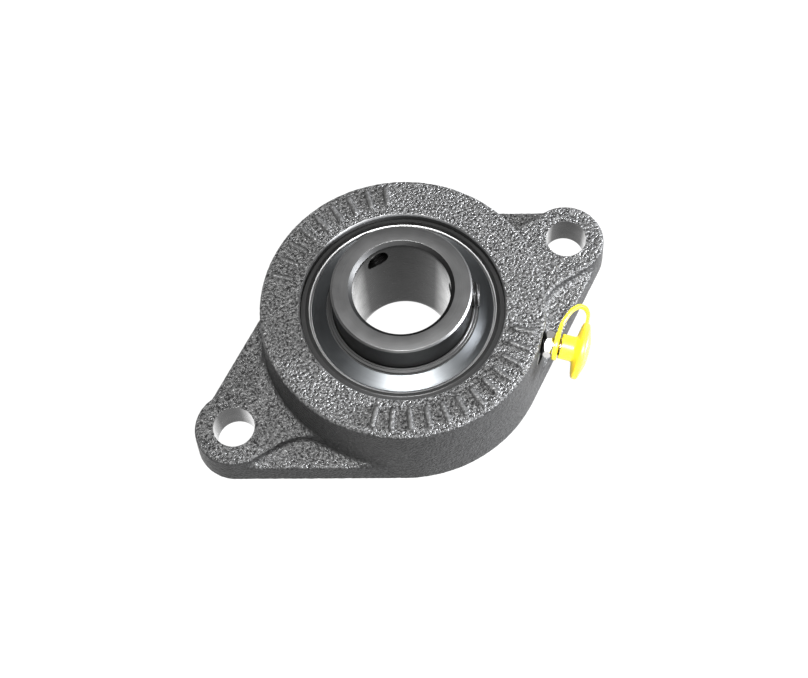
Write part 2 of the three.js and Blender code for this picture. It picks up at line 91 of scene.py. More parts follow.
def azimuth_of(node):
    """The direction from the shaft axis to the middle of a CAD node."""
    low, high = box_mm(node)
    middle = (low + high) / 2
    return atan2(middle.y, middle.x)


# ---- Sizes read from the frame ----
HOUSING_LOW, HOUSING_HIGH = box_mm("housing")
OUTER_LOW, OUTER_HIGH = box_mm("outer_ring")
INNER_LOW, INNER_HIGH = box_mm("inner_ring")
SHROUD_HIGH = box_mm("front_seal_shroud")[1]
FLINGER_LOW, FLINGER_HIGH = box_mm("front_flinger")
CAGE_LOW, CAGE_HIGH = box_mm("ball_cage")
BALL_LOW, BALL_HIGH = box_mm("ball_1")

BOSS_HEIGHT = HOUSING_HIGH.z
BOSS_BASE_RADIUS = HOUSING_HIGH.y
CENTRE_Z = (OUTER_LOW.z + OUTER_HIGH.z) / 2
SPHERE_RADIUS = OUTER_HIGH.x
OUTER_HALF_WIDTH = OUTER_HIGH.z - CENTRE_Z
INNER_RADIUS = INNER_HIGH.x
SHROUD_RADIUS = SHROUD_HIGH.x
FLINGER_RADIUS = FLINGER_HIGH.x
CAGE_RADIUS = CAGE_HIGH.y
BALL_RADIUS = (BALL_HIGH.x - BALL_LOW.x) / 2
PITCH_RADIUS = (BALL_HIGH.x + BALL_LOW.x) / 2
BALL_COUNT = sum(name.startswith("ball_") and name[5:].isdigit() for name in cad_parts)

# ---- Sizes of the casting ----
LUG_RADIUS = 10.4
LUG_DRAFT = 0.5
LUG_HEIGHT = 9.6
WEB_HEIGHT = 6.5
WEB_DRAFT = 0.5
BOSS_DRAFT = 1.2
BOLT_X = HOUSING_HIGH.x - LUG_RADIUS
BOLT_HOLE_RADIUS = 5.16
MOUTH_RADIUS = 25.2
BACK_BORE_RADIUS = 23.6
BACK_BORE_CHAMFER = 0.5
BOLT_HOLE_CHAMFER = 0.25
MOUTH_ROUND = 0.9
SEAT_CLEARANCE = 0.12
LOADING_SLOT_WIDTH = 15.6
LOADING_SLOT_RADIUS = 26.3
EDGE_ROUND = 1.0
FOOT_ROUND = 2.0
BAR_ROUND = 1.8
PAD_FLARE = 7.0
PAD_INSET = 2.5
VOXEL = 0.36
SKIN = 0.02
SKIN_PULLS = 6
BACK_SKIRT = -1.5

# ---- Sizes of the plain raised marks on the boss face ----
MARK_RADIUS = 30.5
MARK_PITCH = radians(8)
MARK_HEIGHT = 0.75
MARK_HALF_LENGTH = 2.2
MARK_HALF_WIDTH = 0.65
MARK_FLANK = 0.5
MARK_SMOOTHNESS = 0.7
MARK_ARCS = [(radians(66), radians(134)), (radians(-134), radians(-46))]

# ---- Sizes of the insert bearing, with heights measured from its own centre ----
OUTER_FACE_RADIUS = 23.9
OUTER_LAND_RADIUS = 21.9
SHROUD_SEAT_RADIUS = 22.65
SHROUD_SEAT_DEPTH = 1.3
SEAT_ROUND = 0.4
GREASE_GROOVE = (1.9, 5.0)
GREASE_GROOVE_DEPTH = 0.8
RING_OIL_HOLE_RADIUS = 0.8
RING_OIL_HOLE_HEIGHT = 4.6
OUTER_RING_CHAMFER = 0.7
OUTSIDE_START = OUTER_FACE_RADIUS + 0.15
SHAFT_BORE_RADIUS = 11.906
BORE_CHAMFER = 0.95
BORE_END = SHAFT_BORE_RADIUS + 0.1
BORE_ROWS = 24
RING_SEGMENTS = 160
RIM_CHAMFER = 0.45
GROOVE_RADIUS = 4.08
CAGE_INNER_RADIUS = 19.3
CAGE_POCKET_RADIUS = 4.12
SHROUD_INNER_RADIUS = 18.7
SHROUD_CROWN = 1.2
SHEET = 0.42
FELT_RADII = (17.3, 20.6)
FELT_THICKNESS = 0.85
FELT_GAP = 0.15
FLINGER_RADII = (17.2, 17.7)

# ---- Sizes of the radial parts, measured outwards from the shaft axis ----
PIN_AZIMUTH = azimuth_of("locking_pin")
PIN_RADIUS = 1.5
PIN_ENDS = (24.7, 28.3)
PIN_CLEARANCE = 0.25
PIN_SLOT_HALF_HEIGHT = 2.75
SCREW_AZIMUTHS = [azimuth_of("set_screw_1"), azimuth_of("set_screw_2")]
SCREW_Z = CENTRE_Z + 12.6
SCREW_ENDS = (13.7, 18.8)
SCREW_SINK_DEPTH = 0.25
SCREW_MAJOR_RADIUS = 3.05
CUP_RADIUS = 1.6
CUP_DEPTH = 1.1
THREAD_PITCH = 25.4 / 28
THREAD_DEPTH = 0.48
THREAD_CREST = 0.12
THREAD_FLANK = 0.7
THREAD_CLEARANCE = 0.1
THREAD_MOUTH = 0.4
SOCKET_ACROSS_FLATS = 3.175
SOCKET_DEPTH = 2.4
SOCKET_TAPER = 0.8
SOCKET_LEAD = 0.35
FITTING_AZIMUTH = azimuth_of("grease_cap")
FITTING_Z = 18.5
THREAD_START = 29.3
THREAD_RUN_OUT = 0.25
THREAD_HOLE_RADIUS = 3.4
OIL_HOLE_RADIUS = 1.5
SPOT_FACE_RADIUS = 5.6
SPOT_FACE = 35.0
HEX_ACROSS_FLATS = 5.8
HEX_ENDS = (35.7, 37.8)
HEX_CHAMFER = 0.55
HEX_OVERLAP = (0.2, 0.4)
NECK_RADIUS = 2.3
WAIST_RADIUS = 1.85
NIPPLE_CHAMFER = 0.42
NIPPLE_LAND = 0.5
NIPPLE_END = 42.9
NIPPLE_BORE_RADIUS = 1.3
NIPPLE_MOUTH_RADIUS = 0.6
CHECK_SEAT = 40.9
CHECK_BALL_RADIUS = 1.0
CHECK_BALL_CENTRE = 40.4
SPRING_RADIUS = 0.85
SPRING_WIRE_RADIUS = 0.2
SPRING_START = 33.0
SPRING_GAP = 0.22
SPRING_TURNS = 5
SPRING_STEPS = 32
CAP_STEM_RADIUS = 3.1
CAP_CAVITY_RADIUS = 2.7
CAP_START = 39.6
CAP_DISC_START = 43.0
CAP_DISC_RADIUS = 7.1
CAP_RIM_ENDS = (43.8, 45.2)
CAP_END = 46.6
CAP_SAG = 0.25
CAP_DROOP = radians(7)
CAP_RING_RADII = (2.6, 3.6)
CAP_RING_ENDS = (38.0, 39.2)
STRAP_WIDTH = 1.5
STRAP_THICKNESS = 0.9
STRAP_GRIP = 0.6
# The strap's route as (distance from the shaft axis, sideways distance from the fitting's axis).
STRAP_ROUTE = [
    (38.6, 3.2), (38.7, 4.6), (38.9, 6.2), (39.6, 8.3), (40.6, 10.4),
    (42.2, 11.8), (43.8, 11.5), (44.7, 10.0), (44.8, 8.0), (44.8, 6.4),
]


# ---- Mesh helpers ----


def add_object(name, data):
    thing = bpy.data.objects.new(name, data)
    bpy.context.scene.collection.objects.link(thing)
    return thing


def make_piece(name, points, faces, *materials):
    """A new object from points in millimetres."""
    mesh = bpy.data.meshes.new(name)
    mesh.from_pydata([Vector(point) * MM for point in points], [], faces)
    mesh.update()
    for material in materials:
        mesh.materials.append(material)
    return add_object(name, mesh)


def arc(centre, radius, start, end, steps=12):
    """Points of an arc in the (radius, height) plane between two angles in radians."""
    angles = np.linspace(start, end, steps + 1)
    return [(centre[0] + radius * cos(a), centre[1] + radius * sin(a)) for a in angles]


def eased(outline, radius, steps=3):
    """A closed outline with its corners rounded. Corners on the axis stay as they are."""
    corners = [Vector(corner) for corner in outline]
    result = []
    for index, corner in enumerate(corners):
        before = corners[index - 1] - corner
        after = corners[(index + 1) % len(corners)] - corner
        turn = pi - before.angle(after)
        if corner.x < TINY or turn < radians(12):
            result.append(tuple(corner))
            continue
        reach = min(radius * tan(turn / 2), 0.45 * before.length, 0.45 * after.length)
        start = corner + before.normalized() * reach
        end = corner + after.normalized() * reach
        for step in range(steps + 1):
            share = step / steps
            result.append(tuple(start.lerp(corner, share).lerp(corner.lerp(end, share), share)))
    return result


def turned(outline, segments=96, lift=0):
    """Points and faces of a body turned about Z from a closed anticlockwise (radius, height) outline."""
    points = []
    rings = []
    for radius, height in outline:
        if radius < TINY:
            rings.append([len(points)] * segments)
            points.append((0, 0, height + lift))
            continue
        rings.append(list(range(len(points), len(points) + segments)))
        for index in range(segments):
            angle = 2 * pi * index / segments
            points.append((radius * cos(angle), radius * sin(angle), height + lift))
    faces = []
    for lower, upper in zip(rings, rings[1:] + rings[:1]):
        for index in range(segments):
            following = (index + 1) % segments
            loop = dict.fromkeys([lower[index], lower[following], upper[following], upper[index]])
            if len(loop) > 2:
                faces.append(tuple(loop))
    return points, faces


def tube_outline(inner, outer, low, high):
    return [(inner, low), (outer, low), (outer, high), (inner, high)]


def lathe(name, outline, segments, *materials, place=None):
    """A piece turned about Z, stood at a place if one is given."""
    piece = make_piece(name, *turned(outline, segments), *materials)
    if place is not None:
        piece.matrix_world = place
    return piece


def threaded_rod(radius, start, end, chamfer, segments=48, steps_per_turn=10):
    """Points and faces of a rod along Z with a right-hand thread and chamfered ends."""
    steps = ceil((end - start) / THREAD_PITCH * steps_per_turn)
    points = [(0, 0, start)]
    for step in range(steps + 1):
        height = start + (end - start) * step / steps
        limit = radius - chamfer + min(height - start, end - height)
        for index in range(segments):
            angle = 2 * pi * index / segments
            share = (height / THREAD_PITCH - angle / (2 * pi)) % 1
            valley = min(1, max(0, (abs(2 * share - 1) - THREAD_CREST) / THREAD_FLANK))
            reach = min(limit, radius - THREAD_DEPTH * valley)
            points.append((reach * cos(angle), reach * sin(angle), height))
    points.append((0, 0, end))
    faces = []
    for step in range(steps):
        for index in range(segments):
            here = 1 + step * segments + index
            beside = 1 + step * segments + (index + 1) % segments
            faces.append((here, beside, beside + segments, here + segments))
    top = 1 + steps * segments
    for index in range(segments):
        following = (index + 1) % segments
        faces.append((0, 1 + following, 1 + index))
        faces.append((len(points) - 1, top + index, top + following))
    return points, faces


def radial_matrix(azimuth, height):
    """Stands a piece built along Z so that it points outwards from the shaft axis at an azimuth."""
    outwards = Vector((cos(azimuth), sin(azimuth), 0))
    sideways = Vector((-sin(azimuth), cos(azimuth), 0))
    turn = Matrix((-Vector((0, 0, 1)), sideways, outwards)).transposed()
    return Matrix.Translation((0, 0, height * MM)) @ turn.to_4x4()


FITTING_PLACE = radial_matrix(FITTING_AZIMUTH, FITTING_Z)
PIN_PLACE = radial_matrix(PIN_AZIMUTH, CENTRE_Z)


def combine(piece, tool, operation="DIFFERENCE"):
    """Cuts a tool from a piece, or joins them, and throws the tool away."""
    bpy.context.view_layer.update()
    modifier = piece.modifiers.new("boolean", "BOOLEAN")
    modifier.operation = operation
    modifier.solver = "MANIFOLD"
    modifier.object = tool
    modifier.material_mode = "TRANSFER"
    depsgraph = bpy.context.evaluated_depsgraph_get()
    mesh = bpy.data.meshes.new_from_object(piece.evaluated_get(depsgraph))
    piece.modifiers.clear()
    piece.data = mesh
    bpy.data.objects.remove(tool)
    return piece


def smooth(piece, sharp_degrees=32):
    """Smooth shading that stops at sharper edges and where one material meets another."""
    piece.data.shade_smooth()
    piece.data.set_sharp_from_angle(angle=radians(sharp_degrees))
    shape = bmesh.new()
    shape.from_mesh(piece.data)
    for edge in shape.edges:
        if len({face.material_index for face in edge.link_faces}) > 1:
            edge.smooth = False
    shape.to_mesh(piece.data)
    shape.free()
    return piece


def finish_piece(piece, body, node, slot):
    """Hands a finished piece to the frame in place of its CAD node."""
    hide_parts(node)
    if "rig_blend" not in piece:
        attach(piece, body)
    return piece


# ---- Material helpers ----


def new_material(name):
    material = bpy.data.materials.new(name)
    material.use_nodes = True
    return material, material.node_tree, material.node_tree.nodes["Principled BSDF"]


def connect(tree, socket, value):
    if isinstance(value, bpy.types.NodeSocket):
        tree.links.new(value, socket)
    else:
        socket.default_value = value


def set_inputs(tree, node, **inputs):
    """Gives each named input a value or a socket. The names have underscores for spaces."""
    for name, value in inputs.items():
        connect(tree, node.inputs[name.replace("_", " ")], value)


def add_node(tree, kind, settings=None, **inputs):
    node = tree.nodes.new(kind)
    for name, value in (settings or {}).items():
        setattr(node, name, value)
    set_inputs(tree, node, **inputs)
    return node


def grey(value, tint=(1, 1, 1)):
    return (value * tint[0], value * tint[1], value * tint[2], 1)


def object_coordinates(tree):
    return add_node(tree, "ShaderNodeTexCoord").outputs["Object"]


def noise_field(tree, size_mm, detail=2, distortion=0, vector=None):
    """Noise from 0 to 1 whose blobs are about size_mm across."""
    node = add_node(tree, "ShaderNodeTexNoise", Vector=vector or object_coordinates(tree))
    set_inputs(tree, node, Scale=1 / (size_mm * MM), Detail=detail, Distortion=distortion)
    return node.outputs["Fac"]


def remap(tree, value, low, high, to_low, to_high):
    node = add_node(tree, "ShaderNodeMapRange", Value=value, From_Min=low, From_Max=high)
    set_inputs(tree, node, To_Min=to_low, To_Max=to_high)
    return node.outputs["Result"]


def blend_colours(tree, factor, first, second):
    node = add_node(tree, "ShaderNodeMix", {"data_type": "RGBA"})
    connect(tree, node.inputs[0], factor)
    connect(tree, node.inputs[6], first)
    connect(tree, node.inputs[7], second)
    return node.outputs[2]


def calculate(tree, operation, *values):
    node = add_node(tree, "ShaderNodeMath", {"operation": operation})
    for socket, value in zip(node.inputs, values):
        connect(tree, socket, value)
    return node.outputs[0]


def bump(tree, height, depth_mm, strength=1.0, under=None):
    """A bump of the given depth, stacked on another bump if there is one."""
    node = add_node(tree, "ShaderNodeBump", Height=height, Distance=depth_mm * MM, Strength=strength)
    if under is not None:
        tree.links.new(under, node.inputs["Normal"])
    return node.outputs["Normal"]


def turning_marks(tree, width_mm):
    """Fine rings around the piece's own Z axis, as a lathe or a grinding wheel leaves them."""
    place = add_node(tree, "ShaderNodeSeparateXYZ", Vector=object_coordinates(tree))
    flat = add_node(tree, "ShaderNodeCombineXYZ", X=place.outputs["X"], Y=place.outputs["Y"])
    radius = add_node(tree, "ShaderNodeVectorMath", {"operation": "LENGTH"}, Vector=flat.outputs[0])
    angle = calculate(tree, "ARCTAN2", place.outputs["Y"], place.outputs["X"])
    along = calculate(tree, "MULTIPLY", angle, width_mm * MM * 3)
    vector = add_node(tree, "ShaderNodeCombineXYZ", X=radius.outputs["Value"], Y=place.outputs["Z"], Z=along)
    return noise_field(tree, width_mm, detail=3, vector=vector.outputs[0])


# ---- Materials ----

WALL_TO_TOP = (0.35, 0.85)  # the upward part of the normal where a wall turns into a top


def grey_socket(tree, shade):
    return add_node(tree, "ShaderNodeCombineColor", Red=shade, Green=shade, Blue=shade).outputs["Color"]


def cast_iron_paint():
    """Charcoal paint over a sand-cast skin: wormy on the flat tops, quieter on the walls, and smoother on the
    raised marks. Its colour carries painted shade: the walls are darker than the tops, and the dips between
    the worms are darker than their ridges."""
    material, tree, shader = new_material("cast_iron_paint")
    normal = add_node(tree, "ShaderNodeNewGeometry").outputs["True Normal"]
    upwards = add_node(tree, "ShaderNodeSeparateXYZ", Vector=normal).outputs["Z"]
    height = add_node(tree, "ShaderNodeSeparateXYZ", Vector=object_coordinates(tree)).outputs["Z"]
    mark_foot = (BOSS_HEIGHT + 0.2 * MARK_HEIGHT) * MM
    mark_top = (BOSS_HEIGHT + 0.6 * MARK_HEIGHT) * MM
    plain = remap(tree, height, mark_foot, mark_top, 1.0, 1 - MARK_SMOOTHNESS)
    top = calculate(tree, "MULTIPLY", remap(tree, upwards, *WALL_TO_TOP, 0.45, 1.0), plain)
    worms = noise_field(tree, 0.64, detail=1.5, distortion=0.3)
    grain = noise_field(tree, 0.25, detail=3)
    soil = noise_field(tree, 7, detail=4)
    # Painted shade and highlight: darker in the dips of the worms, lighter on their ridges.
    relief = remap(tree, worms, 0.35, 0.6, -0.8, 0.55)
    # Painted shade: the walls are coloured darker than the tops.
    base = remap(tree, upwards, *WALL_TO_TOP, 0.02, 0.054)
    shade = calculate(tree, "MULTIPLY", base, calculate(tree, "MULTIPLY_ADD", relief, top, 1.0))
    coarse = bump(tree, remap(tree, worms, 0.3, 0.7, 0, 1), 0.45, top)
    set_inputs(
        tree,
        shader,
        Base_Color=grey_socket(tree, shade),
        Specular_IOR_Level=remap(tree, upwards, *WALL_TO_TOP, 0.08, 0.45),
        Roughness=remap(tree, soil, 0.3, 0.7, 0.27, 0.36),
        Normal=bump(tree, grain, 0.045, 0.8, coarse),
    )
    return material


def stained_metal_painted_sheen(name, low, high, roughness, marks_mm, depth_mm):
    """Oil-stained metal with a painted reflection: dark where it faces the view, bright where seen edge-on.
    """
    material, tree, shader = new_material(name)
    marks = turning_marks(tree, marks_mm)
    stain = remap(tree, noise_field(tree, 3, detail=4), 0.3, 0.7, 0.8, 1.2)
    # Painted reflection: the colour grows bright where the surface is seen edge-on.
    facing = add_node(tree, "ShaderNodeLayerWeight", Blend=0.5).outputs["Facing"]
    stain_and_painted_sheen = calculate(tree, "MULTIPLY", remap(tree, facing, 0.66, 0.88, low, high), stain)
    set_inputs(
        tree,
        shader,
        Base_Color=grey_socket(tree, stain_and_painted_sheen),
        Metallic=1.0,
        Roughness=remap(tree, marks, 0.3, 0.7, roughness * 0.8, roughness * 1.2),
        Normal=bump(tree, marks, depth_mm),
    )
    return material


def pocket_iron_painted_shade():
    """The iron of the seat around the insert, coloured nearly black as painted shade in the deep recess."""
    material, tree, shader = new_material("pocket_iron_painted_shade")
    marks = turning_marks(tree, 0.15)
    colour = blend_colours(tree, marks, grey(0.012), grey(0.03))
    set_inputs(tree, shader, Base_Color=colour, Specular_IOR_Level=0.15, Roughness=0.6)
    set_inputs(tree, shader, Normal=bump(tree, marks, 0.01))
    return material


def steel(name, low, high, roughness, marks_mm, depth_mm, tint=(1, 1, 1), metallic=1.0, brushed=0.0):
    """Steel with fine marks around its axis and faint clouds of stain. Brushed steel smears its highlights
    across the marks."""
    material, tree, shader = new_material(name)
    marks = turning_marks(tree, marks_mm)
    clouds = noise_field(tree, 4, detail=4)
    share = calculate(tree, "MULTIPLY_ADD", marks, 0.8, calculate(tree, "MULTIPLY", clouds, 0.2))
    set_inputs(
        tree,
        shader,
        Base_Color=blend_colours(tree, share, grey(low, tint), grey(high, tint)),
        Metallic=metallic,
        Roughness=remap(tree, clouds, 0.3, 0.7, roughness * 0.95, roughness * 1.05),
        Normal=bump(tree, marks, depth_mm),
    )
    if brushed:
        around = add_node(tree, "ShaderNodeTangent", {"direction_type": "RADIAL", "axis": "Z"})
        across = around.outputs["Tangent"]
        set_inputs(tree, shader, Tangent=across, Anisotropic=brushed, Anisotropic_Rotation=0.25)
    return material


def grained(name, dark, light, roughness, grain_mm, depth_mm, detail=3, distortion=0, **inputs):
    """Felt or plastic with a fine grain between two colours, and any other inputs of its shader."""
    material, tree, shader = new_material(name)
    grain = noise_field(tree, grain_mm, detail, distortion)
    colour = blend_colours(tree, grain, dark, light)
    set_inputs(tree, shader, Base_Color=colour, Roughness=roughness, Normal=bump(tree, grain, depth_mm))
    set_inputs(tree, shader, **inputs)
    return material


# ---- Housing ----


def rounded_both(first, second, radius):
    """Distance to the overlap of two shapes, with the edge between them rounded."""
    corner = np.hypot(np.maximum(radius + first, 0), np.maximum(radius + second, 0))
    return np.minimum(-radius, np.maximum(first, second)) + corner


def filleted_either(first, second, radius):
    """Distance to the union of two shapes, with a fillet between them."""
    corner = np.hypot(np.maximum(radius - first, 0), np.maximum(radius - second, 0))
    return np.maximum(radius, np.minimum(first, second)) - corner


def web_side(x, y, z):
    """Distance to the outline that runs tangent from the boss to both lugs."""
    slope = (BOSS_BASE_RADIUS - LUG_RADIUS) / BOLT_X
    level = sqrt(1 - slope * slope)
    along, across = np.abs(x), np.abs(y)
    position = level * along - slope * across
    flank = level * across + slope * along - BOSS_BASE_RADIUS
    centre_disc = np.hypot(along, across) - BOSS_BASE_RADIUS
    lug_disc = np.hypot(along - BOLT_X, across) - LUG_RADIUS
    side = np.where(position < 0, centre_disc, np.where(position > level * BOLT_X, lug_disc, flank))
    return side + WEB_DRAFT * np.minimum(z / WEB_HEIGHT, 1)


def boss_side(x, y, z):
    return np.hypot(x, y) - BOSS_BASE_RADIUS + BOSS_DRAFT * z / BOSS_HEIGHT


def pad_distance(x, y, z):
    """The bar from lug to lug that stands higher than the web and flares into the boss."""
    bar = np.hypot(np.maximum(np.abs(x) - BOLT_X, 0), y) - LUG_RADIUS + LUG_DRAFT * z / LUG_HEIGHT
    side = filleted_either(bar, boss_side(x, y, z) + PAD_INSET, PAD_FLARE + PAD_INSET)
    return rounded_both(side, z - LUG_HEIGHT, EDGE_ROUND)


def mark_azimuths():
    """The directions from the shaft axis to the plain raised bars on the boss face."""
    azimuths = []
    for start, end in MARK_ARCS:
        azimuths += np.linspace(start, end, round((end - start) / MARK_PITCH) + 1).tolist()
    return azimuths


def mark_relief(points):
    """How far the plain bars stand up from the boss face at each point."""
    x, y, z = points.T
    nearest = np.full_like(x, np.inf)
    for azimuth in mark_azimuths():
        outwards = x * cos(azimuth) + y * sin(azimuth) - MARK_RADIUS
        sideways = y * cos(azimuth) - x * sin(azimuth)
        bar = np.hypot(np.maximum(np.abs(outwards) - MARK_HALF_LENGTH, 0), sideways) - MARK_HALF_WIDTH
        nearest = np.minimum(nearest, bar)
    rise = np.clip(0.5 - nearest / MARK_FLANK, 0, 1)
    return MARK_HEIGHT * (z > BOSS_HEIGHT - EDGE_ROUND / 2) * rise * rise * (3 - 2 * rise)


def casting_distance(points):
    """Distance from points to the skin of the whole casting before machining."""
    x, y, z = points.T
    boss = rounded_both(boss_side(x, y, z), z - BOSS_HEIGHT, EDGE_ROUND)
    pad = pad_distance(x, y, z)
    steps = filleted_either(filleted_either(z - WEB_HEIGHT, pad, BAR_ROUND), boss, FOOT_ROUND)
    flange = rounded_both(web_side(x, y, z), steps, EDGE_ROUND)
    return np.maximum(np.minimum(np.minimum(boss, pad), flange), BACK_SKIRT - z)


def casting_gradient(points):
    step = 0.01
    columns = []
    for axis in np.eye(3) * step:
        columns.append(casting_distance(points + axis) - casting_distance(points - axis))
    gradient = np.stack(columns, axis=1)
    return gradient / np.linalg.norm(gradient, axis=1, keepdims=True)


def corner_windows(values):
    """The eight views of a 3D grid that give each cell its corners."""
    for offset in np.ndindex(2, 2, 2):
        yield values[tuple(slice(o, o + size - 1) for o, size in zip(offset, values.shape))]


def net_faces(inside, number):
    """One quad around every grid edge that the skin crosses, turned to face outwards."""
    faces = []
    for axis in range(3):
        order = (axis, (axis + 1) % 3, (axis + 2) % 3)
        solid = inside.transpose(order)[:, 1:-1, 1:-1]
        cells = number.transpose(order)
        corners = [cells[:, :-1, :-1], cells[:, 1:, :-1], cells[:, 1:, 1:], cells[:, :-1, 1:]]
        quads = np.stack(corners, axis=-1)
        faces.append(quads[solid[:-1] & ~solid[1:]])
        faces.append(quads[~solid[:-1] & solid[1:]][:, ::-1])
    return np.concatenate(faces)


def rough_casting():
    """The casting as one even quad mesh, with a point in every grid cell that the skin passes through."""
    low = np.array((HOUSING_LOW.x, HOUSING_LOW.y, BACK_SKIRT)) - 2 * VOXEL
    high = np.array(HOUSING_HIGH) + 2 * VOXEL
    axes = [np.arange(a, b, VOXEL) for a, b in zip(low, high)]
    grid = np.stack(np.meshgrid(*axes, indexing="ij"), axis=-1)
    inside = casting_distance(grid.reshape(-1, 3)).reshape(grid.shape[:3]) < 0
    filled = sum(corner.astype(np.int8) for corner in corner_windows(inside))
    mixed = (filled > 0) & (filled < 8)
    number = np.full(mixed.shape, -1)
    number[mixed] = np.arange(mixed.sum())
    points = low + (np.argwhere(mixed) + 0.5) * VOXEL
    return points, net_faces(inside, number)


def sand_texture(place, upwards):
    """How far the sand-cast skin dips at a place, in millimetres: deep on the tops, shallow on walls."""
    worms = noise.noise(place / 0.8, noise_basis="PERLIN_NEW")
    lumps = noise.noise(place / 2.1 + Vector((31, 7, 5)), noise_basis="PERLIN_NEW")
    waves = noise.noise(place / 9, noise_basis="PERLIN_NEW")
    depth = 0.1 + 0.14 * upwards
    return depth * (1 - worms) / 2 + 0.07 * (1 - lumps) / 2 + 0.08 * (1 - waves) / 2


def cast_skin(points):
    """Pulls every point onto the rounded casting, raises the marks and presses in the sand texture."""
    for _ in range(SKIN_PULLS):
        points = points - casting_distance(points)[:, None] * casting_gradient(points)
    normals = casting_gradient(points)
    raised = mark_relief(points)
    plain = 1 - MARK_SMOOTHNESS * raised / MARK_HEIGHT
    dips = [
        SKIN + sand_texture(Vector(point), max(0, normal[2]) * share)
        for point, normal, share in zip(points, normals, plain)
    ]
    return points + (raised - np.array(dips))[:, None] * normals


def seat_outline():
    """The spherical seat with its open mouth in front and its bore behind."""
    seat = SPHERE_RADIUS + SEAT_CLEARANCE
    back = -acos(BACK_BORE_RADIUS / seat)
    mouth = acos(MOUTH_RADIUS / seat)
    above = BOSS_HEIGHT + OVERRUN
    wide = BACK_BORE_RADIUS + BACK_BORE_CHAMFER
    return [
        (0, -OVERRUN),
        (wide, -OVERRUN),
        (wide, 0),
        (BACK_BORE_RADIUS, BACK_BORE_CHAMFER),
        *arc((0, CENTRE_Z), seat, back, mouth, 24),
        (MOUTH_RADIUS, above),
        (0, above),
    ]


def mouth_edge_outline():
    """The rounded edge around the mouth."""
    radius, height = MOUTH_RADIUS + MOUTH_ROUND, BOSS_HEIGHT - MOUTH_ROUND
    above = BOSS_HEIGHT + OVERRUN
    return [
        (0, height),
        *arc((radius, height), -MOUTH_ROUND, 0, -pi / 2, 6),
        (radius, above),
        (0, above),
    ]


def bolt_hole_outline():
    wide = BOLT_HOLE_RADIUS + BOLT_HOLE_CHAMFER
    above = LUG_HEIGHT + OVERRUN
    return [
        (0, -OVERRUN),
        (wide, -OVERRUN),
        (wide, 0),
        (BOLT_HOLE_RADIUS, BOLT_HOLE_CHAMFER),
        (BOLT_HOLE_RADIUS, above),
        (0, above),
    ]


def grease_passage_outline():
    inside = SPHERE_RADIUS - OVERRUN
    shoulder = THREAD_START - THREAD_RUN_OUT
    return [
        (0, inside),
        (OIL_HOLE_RADIUS, inside),
        (OIL_HOLE_RADIUS, shoulder),
        (THREAD_HOLE_RADIUS, shoulder),
        (THREAD_HOLE_RADIUS, SPOT_FACE - THREAD_MOUTH),
        (THREAD_HOLE_RADIUS + THREAD_MOUTH, SPOT_FACE),
        (SPOT_FACE_RADIUS, SPOT_FACE),
        (SPOT_FACE_RADIUS, CAP_END),
        (0, CAP_END),
    ]


def block(low, high):
    """Points and faces of an upright box between two corners."""
    outline = [(low[0], low[1]), (high[0], low[1]), (high[0], high[1]), (low[0], high[1])]
    corners = [(x, y, z) for z in (low[2], high[2]) for x, y in outline]
    faces = [(3, 2, 1, 0), (4, 5, 6, 7)]
    faces += [(i, (i + 1) % 4, (i + 1) % 4 + 4, i + 4) for i in range(4)]
    return corners, faces


def housing_cutters(pocket, bare, edge):
    """Everything that is machined out of the casting."""
    reach = HOUSING_HIGH.x * 2
    yield make_piece("back_plane", *block((-reach, -reach, -reach), (reach, reach, 0)), bare)
    # The seat, loading slots and pin slot take the pocket iron, nearly black as painted shade.
    yield lathe("seat", seat_outline(), 192, pocket)
    yield lathe("mouth_edge", mouth_edge_outline(), 192, edge)
    for x in (-BOLT_X, BOLT_X):
        place = Matrix.Translation((x * MM, 0, 0))
        yield lathe("bolt_hole", bolt_hole_outline(), 72, bare, place=place)
    slots = lathe("slots", tube_outline(0, LOADING_SLOT_RADIUS, -OVERRUN, CENTRE_Z), 144, pocket)
    half = LOADING_SLOT_WIDTH / 2
    across = make_piece("across", *block((-reach, -half, -reach), (reach, half, reach)), pocket)
    yield combine(slots, across, "INTERSECT")
    yield lathe("passage", grease_passage_outline(), 48, bare, place=FITTING_PLACE)
    side = PIN_RADIUS + PIN_CLEARANCE
    outer = PIN_ENDS[1] + 2 * PIN_CLEARANCE
    low = (-PIN_SLOT_HALF_HEIGHT, -side, SPHERE_RADIUS - OVERRUN)
    slot = make_piece("pin_slot", *block(low, (PIN_SLOT_HALF_HEIGHT, side, outer)), pocket)
    slot.matrix_world = PIN_PLACE
    yield slot


def crisp_machined_edges(piece, cast_index=0):
    """Smooth shading everywhere but on edges that touch a machined face."""
    piece.data.shade_smooth()
    shape = bmesh.new()
    shape.from_mesh(piece.data)
    for edge in shape.edges:
        machined = any(face.material_index != cast_index for face in edge.link_faces)
        edge.smooth = not (machined and edge.calc_face_angle(0) > radians(30))
    shape.to_mesh(piece.data)
    shape.free()


def build_housing(paint, pocket, bare, edge):
    points, faces = rough_casting()
    piece = make_piece("cast_housing", cast_skin(points), faces.tolist(), paint)
    for cutter in housing_cutters(pocket, bare, edge):
        combine(piece, cutter)
    crisp_machined_edges(piece)
    return finish_piece(piece, "housing", "housing", "cast_iron")


# ---- Insert bearing ----


